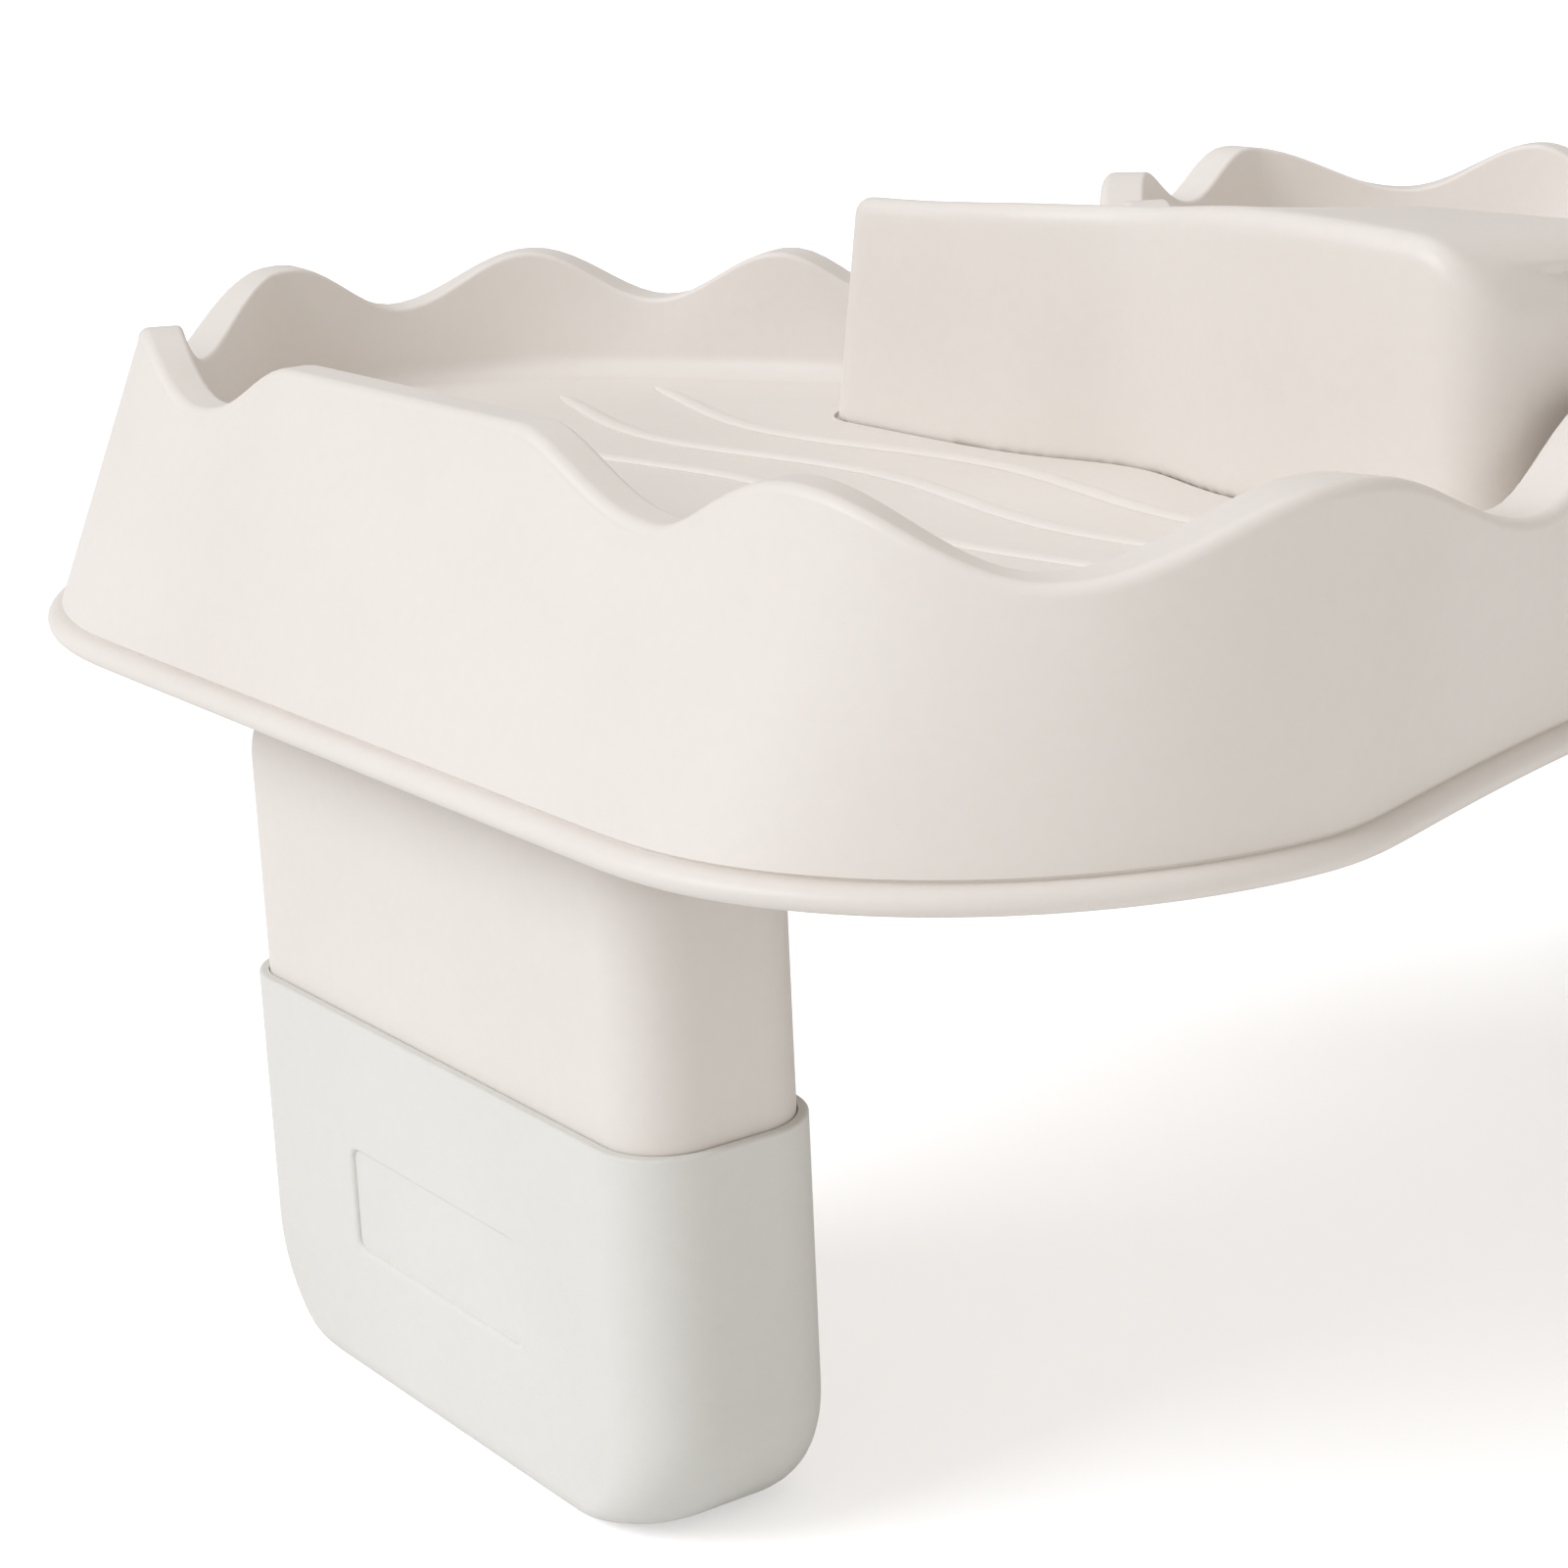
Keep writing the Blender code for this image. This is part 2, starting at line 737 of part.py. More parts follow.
def lock_stud(side, word, look):
    outline = circle(side * guide_middle, lane_middle + side * bar_lane, stud_radius)
    return prism(f"{word}_lock_stud", outline, knob_top - knob_socket, bar_under - gap, look)


def move_origin(made, place):
    """Puts an object's origin at a place, and leaves its shape where it is."""
    made.data.transform(Matrix.Translation(-place))
    made.location = place


def side_parts(side, word, tray, looks):
    """Everything that one leg needs, at the end of the tray on the given side of X."""
    carrier = leg(side, word, looks["tray"])
    sleeve(side, word, looks["sleeve"])
    join_bar(side, word, slide_bar(side, word, looks["tray"]), carrier, looks)
    join_plate(side, word, guide_plate(side, word, looks["tray"]), tray, looks)
    threaded_insert(side, word, looks["brass"])
    turn_place = Vector((side * guide_middle, lane_middle + side * bar_lane, knob_low))
    for turned in (lock_knob(side, word, looks["tray"]), lock_stud(side, word, looks["steel"])):
        move_origin(turned, turn_place)


def build():
    for old in list(bpy.data.objects):
        bpy.data.objects.remove(old)
    looks = {
        "tray": material("tray_plastic", (0.80, 0.76, 0.72), 0.42),
        "sleeve": material("sleeve_rubber", (0.76, 0.75, 0.71), 0.6),
        "steel": material("steel", (0.62, 0.62, 0.63), 0.3, 1.0),
        "brass": material("brass", (0.75, 0.58, 0.30), 0.35, 1.0),
    }
    tray = tray_shell(looks["tray"])
    for side in (-1, 1):
        for index in range(rib_count):
            fuse(tray, floor_rib(side, index, looks["tray"]))
    cut_recess(tray, looks["tray"])
    cup_holder(looks["tray"])
    side_parts(-1, "left", tray, looks)
    side_parts(1, "right", tray, looks)


build()
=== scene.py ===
# Looks of the hot tub side tray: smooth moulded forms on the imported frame, satin plastic, soft
# sleeves, a pale floor, plain studio light and the photograph's camera. Metres, +Z up.

import json
import math

import bmesh
import bpy
import numpy as np
from mathutils import Matrix, Vector


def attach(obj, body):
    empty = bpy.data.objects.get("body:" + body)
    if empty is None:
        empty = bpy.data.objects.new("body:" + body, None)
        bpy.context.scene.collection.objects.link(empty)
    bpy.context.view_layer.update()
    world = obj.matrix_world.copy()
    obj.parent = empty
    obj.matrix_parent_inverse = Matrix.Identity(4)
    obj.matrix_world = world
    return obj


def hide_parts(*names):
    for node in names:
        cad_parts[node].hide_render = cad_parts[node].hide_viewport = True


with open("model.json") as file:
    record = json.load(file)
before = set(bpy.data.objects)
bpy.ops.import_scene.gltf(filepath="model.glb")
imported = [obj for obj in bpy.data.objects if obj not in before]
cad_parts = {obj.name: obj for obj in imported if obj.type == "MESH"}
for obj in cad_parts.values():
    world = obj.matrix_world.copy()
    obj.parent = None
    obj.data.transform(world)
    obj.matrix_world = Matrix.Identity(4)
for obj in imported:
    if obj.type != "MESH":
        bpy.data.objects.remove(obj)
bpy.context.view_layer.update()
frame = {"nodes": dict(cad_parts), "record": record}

# Sizes of the tray, as in the part's source
tray_length = 0.432
tray_width = 0.328
lip_height = 0.1300
corner_along = 0.080
near_corner_across = 0.072
far_corner_across = 0.084
lobe_flat = 0.004
near_waist = 0.0285
far_waist = 0.093
far_early_share = 0.17
far_reach_share = 0.85
waist_power = 2.1
bend_blend = 0.006
end_draft = 0.022
near_draft = 0.0004
far_draft = 0.0030
end_land = 0.008
side_land = 0.0105
tray_wall = 0.0025
rim_round = 0.0012
rim_outer_round = 0.0022
basin_draft = 0.002
basin_fillet = 0.005
floor_height = 0.0315
floor_thick = 0.0025
bead_height = 0.0044
bead_depth = 0.0030
groove_width = 0.0008
groove_depth = 0.0005
basin_centre = 0.095
rib_spacing = 0.019
rib_first = 0.071
rib_width = 0.0042
rib_height = 0.0009
rib_bow = 0.006
rib_wave = 0.004
rib_wave_length = 0.120
rib_wave_shift = 0.010
rib_count = 3
rib_margin = 0.006

# Sizes of the cup holder, as in the part's source
holder_width = 0.150
holder_near_clearance = 0.0021
holder_far_clearance = 0.0075
holder_far_draft = 0.008
holder_top = 0.0435
holder_crown = 0.005
holder_crown_place = -0.074
holder_crown_reach = 0.110
holder_fall = 0.20
holder_near_fall = 0.07
holder_fall_place = -0.066
holder_fall_reach = 0.012
holder_round = 0.004
holder_far_corner = 0.012
holder_near_corner = 0.012
holder_near_bow = 0.008
holder_near_drop = 0.008
holder_near_bend = 0.016
holder_groove = 0.007
holder_groove_width = 0.030
holder_wall = 0.0025
well_web = 0.004
well_end_wall = 0.00425
well_floor = 0.003
recess_depth = 0.0008
recess_margin = 0.0008
relief_depth = 0.0045
relief_height = 0.002

# Sizes of the legs, sleeves and knobs, as in the part's source
leg_width = 0.136
leg_thick = 0.035
leg_outset = 0.0215
leg_shift = 0.002
leg_gap_below_lip = 0.0040
leg_corner = 0.0115
leg_top_round = 0.014
leg_top_edge = 0.006
leg_wall = 0.003
leg_foot_corner = 0.021
sleeve_wall = 0.002
sleeve_base = 0.003
sleeve_height = 0.0714
sleeve_round = 0.005
panel_width = 0.057
panel_height = 0.0192
panel_depth = 0.0008
panel_top_drop = 0.0253
panel_shift = 0.002
neck_length = 0.024
bar_width = 0.032
bar_thick = 0.010
bar_lane = 0.026
bar_corner = 0.004
lane_clearance = 0.0005
plate_length = 0.055
plate_thick = 0.003
plate_margin = 0.013
boss_radius = 0.0045
screw_radius = 0.0016
screw_grip = 0.006
lock_boss_height = 0.003
knob_radius = 0.015
knob_height = 0.007
knob_lobe_share = 0.08
knob_lobes = 8
knob_socket = 0.004
stud_radius = 0.0024
gap = 0.0003
overrun = 0.002

# Wave of the rim, as in the part's source
tab_angle = 29
rim_height = 0.0565
trough_share = 0.809
near_wave_shares = (
    (0, 1),
    (tab_angle, 1),
    (47.5, trough_share),
    (58, 1),
    (70, 0.796),
    (84, 0.981),
    (106, 0.708),
    (118, 0.939),
    (131.5, 0.769),
    (180, 0.769),
)
far_wave_shares = (
    (0, 1),
    (tab_angle, 1),
    (47.5, trough_share),
    (58, 1),
    (70.5, trough_share),
    (86, 1.018),
    (94.5, 0.833),
    (105.5, 1.010),
    (116, 0.833),
    (128, 1.010),
    (139, 0.859),
    (150, 0.982),
    (180, 0.982),
)

# Fineness of the visual model
stations = 480
fine_step = 0.0008
arc_steps = 6
wall_steps = 5
corner_steps = 14
foot_steps = 18
well_steps = 96
side_steps = 60
end_steps = 24
screw_steps = 40
rib_steps = 60
rib_taper_power = 8
rib_end_share = 0.04
smooth_angle = 32
rib_smooth_angle = 60
flat_weight = 80
holder_voxel = 0.0007
holder_smooth_rounds = 5
edge_bevel = 0.0004
edge_segments = 2
edge_angle = 40
sleeve_edge = 0.0005
panel_edge = 0.0010
panel_corner = 0.002
knob_edge = 0.0016
dish_shares = ((0.2, 0.5), (0.55, 0.5), (0.66, 0.12))

# Surface patterns: scales are per metre, distances in metres
cloud_scale = 14
speck_scale = 420
speck_share = 0.25
patch_scale = 45
sink_scale = 22
sink_distance = 0.004
grain_distance = 0.0002
plastic_ior = 1.48
metal_patch_scale = 300
metal_mark_scale = 2600
metal_mark_strength = 0.15
metal_mark_distance = 0.00005
noise_middle = (0.3, 0.7)

# Camera, from the photograph
camera_place = (-0.471, -0.50945, 0.2815)
camera_yaw = -34.64
camera_pitch = -15.87
camera_roll = -2.56
camera_lens = 81.62
camera_sensor = 36
camera_near = 0.01

# Light
sky_strength = 0.50
sky_color = (1.0, 0.955, 0.915)
key_strength = 1.62
key_spread = 34
key_from = (-0.76, 0.22, 0.58)
key_color = (0.92, 0.945, 1.0)
fill_strength = 0.38
fill_spread = 50
fill_from = (0.15, -1.0, 0.06)
fill_color = (1.0, 0.96, 0.92)
top_strength = 0.50
top_spread = 60
top_from = (0.0, 0.2, 1.0)
top_color = (0.97, 0.975, 1.0)
floor_reach = 30
floor_lift = 0.45
floor_grey = 0.95

# Places that follow from the sizes above
half_length = tray_length / 2
half_width = tray_width / 2
floor_near_edge = near_waist + near_draft + side_land + basin_draft - half_width
floor_far_edge = half_width - far_waist - far_draft - side_land - basin_draft
floor_top = lip_height + floor_height
floor_under = floor_top - floor_thick
bar_under = floor_under - gap - bar_thick
plate_top = bar_under - gap
plate_under = plate_top - plate_thick
leg_top = lip_height - leg_gap_below_lip
leg_foot = sleeve_base + gap
leg_middle = half_length - leg_outset - leg_thick / 2
lane_middle = floor_far_edge - lane_clearance - bar_lane - bar_width / 2 - plate_margin
holder_far_end = floor_far_edge - holder_far_clearance - holder_far_draft
holder_near_end = floor_near_edge + holder_near_clearance
holder_middle = (holder_far_end + holder_near_end) / 2
well_radius = (holder_far_end - holder_near_end - well_web - 2 * well_end_wall) / 4
well_spacing = 2 * well_radius + well_web
leg_across = lane_middle + leg_shift


# Materials


def node(tree, kind, **settings):
    """A shader node with inputs or settings given by name."""
    made = tree.nodes.new(kind)
    for key, value in settings.items():
        if key in made.inputs:
            made.inputs[key].default_value = value
        else:
            setattr(made, key, value)
    return made


def noise(tree, where, scale, detail, rough=0.5, distortion=0.0):
    """A noise pattern fixed to the object."""
    made = node(tree, "ShaderNodeTexNoise", Scale=scale, Detail=detail, Roughness=rough)
    made.inputs["Distortion"].default_value = distortion
    tree.links.new(where.outputs["Object"], made.inputs["Vector"])
    return made


def ramp(tree, source, low, high):
    """The source's middle range, spread from low to high."""
    made = node(tree, "ShaderNodeMapRange")
    made.inputs["From Min"].default_value = noise_middle[0]
    made.inputs["From Max"].default_value = noise_middle[1]
    made.inputs["To Min"].default_value = low
    made.inputs["To Max"].default_value = high
    tree.links.new(source, made.inputs["Value"])
    return made.outputs["Result"]


def tinted(tree, source, dark, light):
    """A colour that the source shifts from dark to light."""
    made = node(tree, "ShaderNodeMix", data_type="RGBA")
    made.inputs["A"].default_value = (*dark, 1.0)
    made.inputs["B"].default_value = (*light, 1.0)
    tree.links.new(source, made.inputs["Factor"])
    return made.outputs["Result"]


def bumped(tree, height, strength, distance, below=None):
    made = node(tree, "ShaderNodeBump", Strength=strength, Distance=distance)
    tree.links.new(height, made.inputs["Height"])
    if below is not None:
        tree.links.new(below, made.inputs["Normal"])
    return made.outputs["Normal"]


def moulded(name, dark, light, rough_low, rough_high, grain_size, grain_strength, sink_strength):
    """Moulded plastic or rubber: faint clouds of colour, a fine surface grain and soft sink marks."""
    made = bpy.data.materials.new(name)
    made.use_nodes = True
    tree = made.node_tree
    shader = tree.nodes["Principled BSDF"]
    where = node(tree, "ShaderNodeTexCoord")
    clouds = noise(tree, where, cloud_scale, detail=3)
    specks = noise(tree, where, speck_scale, detail=2)
    patches = noise(tree, where, patch_scale, detail=4, rough=0.6)
    grain = noise(tree, where, 1 / grain_size, detail=3, rough=0.55)
    sinks = noise(tree, where, sink_scale, detail=1, rough=0.4, distortion=0.2)
    scaled = node(tree, "ShaderNodeMath", operation="MULTIPLY")
    scaled.inputs[1].default_value = 1 - speck_share
    tree.links.new(clouds.outputs["Fac"], scaled.inputs[0])
    both = node(tree, "ShaderNodeMath", operation="MULTIPLY_ADD")
    both.inputs[1].default_value = speck_share
    tree.links.new(specks.outputs["Fac"], both.inputs[0])
    tree.links.new(scaled.outputs[0], both.inputs[2])
    tint = tinted(tree, ramp(tree, both.outputs[0], 0.0, 1.0), dark, light)
    tree.links.new(tint, shader.inputs["Base Color"])
    tree.links.new(ramp(tree, patches.outputs["Fac"], rough_low, rough_high), shader.inputs["Roughness"])
    soft = bumped(tree, sinks.outputs["Fac"], sink_strength, sink_distance)
    fine = bumped(tree, grain.outputs["Fac"], grain_strength, grain_distance, soft)
    tree.links.new(fine, shader.inputs["Normal"])
    shader.inputs["IOR"].default_value = plastic_ior
    return made


def metal(name, dark, light, rough_low, rough_high):
    """Turned metal: fine rings of tool marks and small dull patches."""
    made = bpy.data.materials.new(name)
    made.use_nodes = True
    tree = made.node_tree
    shader = tree.nodes["Principled BSDF"]
    where = node(tree, "ShaderNodeTexCoord")
    patches = noise(tree, where, metal_patch_scale, detail=4, rough=0.6)
    marks = noise(tree, where, metal_mark_scale, detail=2, distortion=0.3)
    tint = tinted(tree, ramp(tree, patches.outputs["Fac"], 0.0, 1.0), dark, light)
    tree.links.new(tint, shader.inputs["Base Color"])
    tree.links.new(ramp(tree, patches.outputs["Fac"], rough_low, rough_high), shader.inputs["Roughness"])
    scored = bumped(tree, marks.outputs["Fac"], metal_mark_strength, metal_mark_distance)
    tree.links.new(scored, shader.inputs["Normal"])
    shader.inputs["Metallic"].default_value = 1.0
    return made


def make_materials():
    return {
        "tray_plastic": moulded(
            "tray_plastic",
            dark=(0.775, 0.730, 0.680),
            light=(0.815, 0.775, 0.730),
            rough_low=0.40,
            rough_high=0.50,
            grain_size=0.0007,
            grain_strength=0.10,
            sink_strength=0.10,
        ),
        "sleeve_rubber": moulded(
            "sleeve_rubber",
            dark=(0.725, 0.720, 0.680),
            light=(0.765, 0.760, 0.722),
            rough_low=0.56,
            rough_high=0.68,
            grain_size=0.0004,
            grain_strength=0.22,
            sink_strength=0.06,
        ),
        "steel": metal(
            "steel", dark=(0.52, 0.52, 0.53), light=(0.66, 0.66, 0.67), rough_low=0.26, rough_high=0.40
        ),
        "brass": metal(
            "brass", dark=(0.66, 0.50, 0.25), light=(0.78, 0.61, 0.33), rough_low=0.28, rough_high=0.42
        ),
    }


# Mesh helpers


def add_object(name, vertices, faces, sharp_from=smooth_angle):
    mesh = bpy.data.meshes.new(name)
    mesh.from_pydata([tuple(v) for v in vertices], [], faces)
    mesh.validate()
    made = bpy.data.objects.new(name, mesh)
    bpy.context.scene.collection.objects.link(made)
    turned_out(mesh)
    mesh.shade_smooth()
    mesh.set_sharp_from_angle(angle=math.radians(sharp_from))
    return made


def turned_out(mesh):
    """Turns every face of a closed mesh outwards."""
    shaped = bmesh.new()
    shaped.from_mesh(mesh)
    bmesh.ops.recalc_face_normals(shaped, faces=shaped.faces)
    shaped.to_mesh(mesh)
    shaped.free()


def loft(name, rings, strips=False, sharp_from=smooth_angle):
    """A closed solid through rings of equal counts. Strips cap rings whose two halves mirror in X."""
    count = len(rings[0])
    vertices = [point for ring in rings for point in ring]
    faces = []
    for level in range(len(rings) - 1):
        low = level * count
        for i in range(count):
            j = (i + 1) % count
            faces.append((low + i, low + j, low + count + j, low + count + i))
    for start in (0, (len(rings) - 1) * count):
        if strips:
            for i in range(count // 2 - 1):
                faces.append(tuple(start + k for k in (i, i + 1, count - 2 - i, count - 1 - i)))
        else:
            faces.append(tuple(range(start, start + count)))
    return add_object(name, vertices, faces, sharp_from)


def applied(target):
    """Applies all modifiers of an object."""
    bpy.context.view_layer.update()
    graph = bpy.context.evaluated_depsgraph_get()
    result = bpy.data.meshes.new_from_object(target.evaluated_get(graph))
    target.modifiers.clear()
    target.data = result
    return target


def combine(target, other, operation):
    modifier = target.modifiers.new(other.name, "BOOLEAN")
    modifier.operation = operation
    modifier.object = other
    applied(target)
    target.data.shade_smooth()
    target.data.set_sharp_from_angle(angle=math.radians(smooth_angle))
    bpy.data.objects.remove(other)


def cut(target, cutter):
    combine(target, cutter, "DIFFERENCE")


def fuse(target, added):
    combine(target, added, "UNION")


def softened(target, voxel, rounds):
    """Rounds every edge of a solid a little, as moulding does."""
    remesh = target.modifiers.new("remesh", "REMESH")
    remesh.mode = "VOXEL"
    remesh.voxel_size = voxel
    remesh.use_smooth_shade = True
    smooth = target.modifiers.new("smooth", "SMOOTH")
    smooth.factor = 0.5
    smooth.iterations = rounds
    applied(target)
    target.data.shade_smooth()
    return target


def circle(x, y, radius, count=well_steps):
    angles = [math.tau * i / count for i in range(count)]
    return [(x + radius * math.cos(a), y + radius * math.sin(a)) for a in angles]


def rounded_box(x_low, x_high, y_low, y_high, radius, steps=corner_steps):
    """Plan outline of a box with round corners."""
    outline = []
    corners = (
        (x_high - radius, y_high - radius, 0),
        (x_low + radius, y_high - radius, 1),
        (x_low + radius, y_low + radius, 2),
        (x_high - radius, y_low + radius, 3),
    )
    for x, y, turn in corners:
        for i in range(steps + 1):
            angle = math.radians(90) * (turn + i / steps)
            outline.append((x + radius * math.cos(angle), y + radius * math.sin(angle)))
    return outline


def prism(name, outline, low, high):
    return loft(name, [[(x, y, z) for x, y in outline] for z in (low, high)])


def evened(piece):
    """Lets the large flat faces lead the shading, so that they look flat next to round ones."""
    weighted = piece.modifiers.new("weighted_normals", "WEIGHTED_NORMAL")
    weighted.keep_sharp = True
    weighted.weight = flat_weight


def finish_piece(piece, body, slot, look, *nodes):
    """Gives a piece its look and its body, and hides the CAD nodes that it replaces. The slot is not
    used.
    """
    piece.data.materials.clear()
    piece.data.materials.append(look)
    evened(piece)
    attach(piece, body)
    if nodes:
        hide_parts(*nodes)
    return piece


# Tray


def waist_share(share, early, reach):
    """How far a side has drawn in, from its lobe at 0 to the middle of the tray at 1."""
    late = min(share / reach, 1.0) ** waist_power
    return early * math.sin(math.pi / 2 * share) + (1 - early) * late * late * (3 - 2 * late)


def half_outline():
    """The lip from the middle of the near side, round the end at -X, to the middle of the far side."""
    span = half_length - corner_along - lobe_flat
    points = []
    steps = round(half_length / fine_step)
    for i in range(steps):
        x = -span * i / steps
        share = 1 + x / span
        points.append((x, -half_width + near_waist * waist_share(share, 1.0, 1.0)))
    for i in range(steps):
        angle = math.radians(90) * i / steps
        x = -half_length + corner_along * (1 - math.sin(angle))
        points.append((x, -half_width + near_corner_across * (1 - math.cos(angle))))
    for i in range(steps):
        angle = math.radians(90) * i / steps
        x = -half_length + corner_along * (1 - math.cos(angle))
        points.append((x, half_width - far_corner_across * (1 - math.sin(angle))))
    for i in range(steps + 1):
        x = -span * (1 - i / steps)
        share = 1 + x / span
        points.append((x, half_width - far_waist * waist_share(share, far_early_share, far_reach_share)))
    return points


def even_points(points, count):
    """The closed line through the points, read again at equal steps."""
    closed = np.vstack([points, points[:1]])
    along = np.concatenate([[0.0], np.cumsum(np.linalg.norm(np.diff(closed, axis=0), axis=1))])
    wanted = np.linspace(0.0, along[-1], count, endpoint=False)
    return np.stack([np.interp(wanted, along, closed[:, k]) for k in (0, 1)], axis=1)


def lip_outline(count):
    left = half_outline()
    right = [(-x, y) for x, y in reversed(left[1:-1])]
    rough = np.array(left + right)
    perimeter = np.linalg.norm(np.diff(rough, axis=0), axis=1).sum()
    fine = even_points(rough, round(perimeter / fine_step))
    reach = round(3 * bend_blend / fine_step)
    weights = np.exp(-0.5 * (np.arange(-reach, reach + 1) * fine_step / bend_blend) ** 2)
    weights /= weights.sum()
    soft = sum(w * np.roll(fine, k, axis=0) for k, w in zip(range(-reach, reach + 1), weights))
    return even_points(soft, count)


def inward_normals(points):
    ahead = np.roll(points, -1, axis=0) - np.roll(points, 1, axis=0)
    ahead /= np.linalg.norm(ahead, axis=1)[:, None]
    return np.stack([ahead[:, 1], -ahead[:, 0]], axis=1)


def wave_height(x, y):
    """Height of the rim above the lip at a place on the rim."""
    angle = math.degrees(math.atan2(abs(y), abs(x) - half_length + basin_centre))
    wave = near_wave_shares if y < 0 else far_wave_shares
    for (start, low), (end, high) in zip(wave, wave[1:]):
        if start <= angle <= end:
            turn = math.pi * (angle - start) / (end - start)
            return rim_height * (low + (high - low) * (1 - math.cos(turn)) / 2)
    return rim_height * wave[-1][1]


def arc(steps, start=0, end=90):
    """(cosine, sine) at even steps of an angle in degrees."""
    angles = [math.radians(start + (end - start) * i / steps) for i in range(steps + 1)]
    return [(math.cos(a), math.sin(a)) for a in angles]


def tray_shell():
    """The moulded tray: basin, wavy rim, outer wall, bead and skirt, with bosses under its floor."""
    lip = lip_outline(stations)
    normals = inward_normals(lip)
    towards_end = np.clip((np.abs(lip[:, 0]) - half_length + corner_along) / corner_along, 0, 1)
    near_outer = near_draft + (end_draft - near_draft) * towards_end**2
    far_outer = far_draft + (end_draft - far_draft) * (1 - (1 - towards_end) ** 2)
    outer = np.where(lip[:, 1] < 0, near_outer, far_outer)
    inner = outer + side_land + (end_land - side_land) * towards_end**2
    middle = lip + normals * ((outer + inner) / 2)[:, None]
    rim = lip_height + np.array([wave_height(x, y) for x, y in middle])
    flat = np.ones(stations)
    base = lip_height * flat

    def ring(inset, height):
        plan = lip + normals * (inset * flat)[:, None]
        return [(x, y, z) for (x, y), z in zip(plan, height * flat)]

    foot = inner + basin_draft
    half_bead = bead_height / 2
    bead_top = base + bead_height
    wall_base = bead_top + groove_width
    rings = []
    for across, up in arc(arc_steps):
        rings.append(ring(foot + basin_fillet * (1 - up), floor_top + basin_fillet * (1 - across)))
    fillet_top = floor_top + basin_fillet
    inner_top = rim - rim_round
    for i in range(1, wall_steps):
        share = i / wall_steps
        inset = foot + (inner - foot) * share
        rings.append(ring(inset, fillet_top + (inner_top - fillet_top) * share))
    for across, up in arc(arc_steps):
        rings.append(ring(inner - rim_round * (1 - across), inner_top + rim_round * up))
    for across, up in arc(arc_steps):
        rings.append(ring(outer + rim_outer_round * (1 - up), rim - rim_outer_round * (1 - across)))
    outer_top = rim - rim_outer_round
    for i in range(1, 2 * wall_steps):
        share = i / (2 * wall_steps)
        inset = outer + (bead_depth - outer) * share
        rings.append(ring(inset, outer_top + (wall_base - outer_top) * share))
    rings.append(ring(bead_depth, wall_base))
    rings.append(ring(bead_depth + groove_depth, wall_base - groove_width / 4))
    rings.append(ring(bead_depth + groove_depth, bead_top + groove_width / 4))
    for across, up in arc(2 * arc_steps, 90, -90):
        rings.append(ring(bead_depth * (1 - across), base + half_bead * (1 + up)))
    rings.append(ring(bead_depth + tray_wall, base))
    rings.append(ring(bead_depth + tray_wall, bead_top))
    rings.append(ring(outer + tray_wall, rim - tray_wall))
    rings.append(ring(inner - tray_wall, rim - tray_wall))
    rings.append(ring(inner + basin_draft - tray_wall, floor_under + overrun / 2))
    rings.append(ring(inner + basin_draft - tray_wall + overrun / 2, floor_under))
    shell = loft("tray_body", rings)
    near_limit = holder_near_end + relief_depth - gap
    hollow = [(x, max(y, near_limit)) for x, y in holder_outline(-recess_margin, holder_far_draft)]
    cut(shell, prism("recess", hollow, floor_top - recess_depth, floor_top + overrun))
    for side in (-1, 1):
        for x, y in plate_screw_places(side):
            boss = circle(x, y, boss_radius, screw_steps)
            room = circle(x, y, screw_radius + gap, screw_steps)
            fuse(shell, prism("boss", boss, plate_top + gap, floor_under + floor_thick / 2))
            room_high = plate_top + screw_grip + 2 * gap
            cut(shell, prism("socket", room, plate_top - overrun, room_high))
    return shell


def lane_place(side):
    """The Y place of one leg's slide bar."""
    return lane_middle + side * bar_lane


def plate_screw_places(side):
    """Places of the four screws that hold a guide plate."""
    x_reach = plate_length / 2 - boss_radius - gap
    y_reach = bar_width / 2 + plate_margin / 2 + gap
    x_middle = side * (plate_length / 2 + gap)
    y_middle = lane_place(side)
    return [(x_middle + a * x_reach, y_middle + b * y_reach) for a in (-1, 1) for b in (-1, 1)]


def rib_place(index, y, reach):
    """How far out a floor rib lies at y: a gentle wave that turns in at the far end."""
    middle = half_length - rib_first - rib_spacing * (index + 1)
    turned = (y + rib_wave_shift * index) / rib_wave_length
    return middle - rib_wave * math.cos(2 * math.pi * turned) - rib_bow * max(y / reach, 0.0) ** 4


def floor_rib(side, index):
    """One low half-round rib across a basin's floor, wavy and tapering out at both ends."""
    reach = half_width - near_corner_across / 2 - side_land - rib_margin * (index + 1)
    rings = []
    for i in range(rib_steps + 1):
        share = 2 * i / rib_steps - 1
        fullness = math.sqrt(max(1 - share**rib_taper_power, 0.0))
        taper = fullness * (1 - rib_end_share) + rib_end_share
        profile = []
        y = reach * share
        x = rib_place(index, y, reach)
        for across, up in arc(2 * arc_steps, 0, 180):
            place = x + rib_width / 2 * taper * across
            profile.append((side * place, y, floor_top + rib_height * taper * up))
        profile.append((side * (x - rib_width / 3), y, floor_top - rib_height))
        profile.append((side * (x + rib_width / 3), y, floor_top - rib_height))
        rings.append(profile)
    word = "left" if side < 0 else "right"
    return loft(f"{word}_floor_rib_{index + 1}", rings, sharp_from=rib_smooth_angle)


# Cup holder


def near_bow(x):
    """How far the cup holder's near end reaches out, so that it follows the tray's wall."""
    return holder_near_bow * (2 * x / holder_width) ** 2


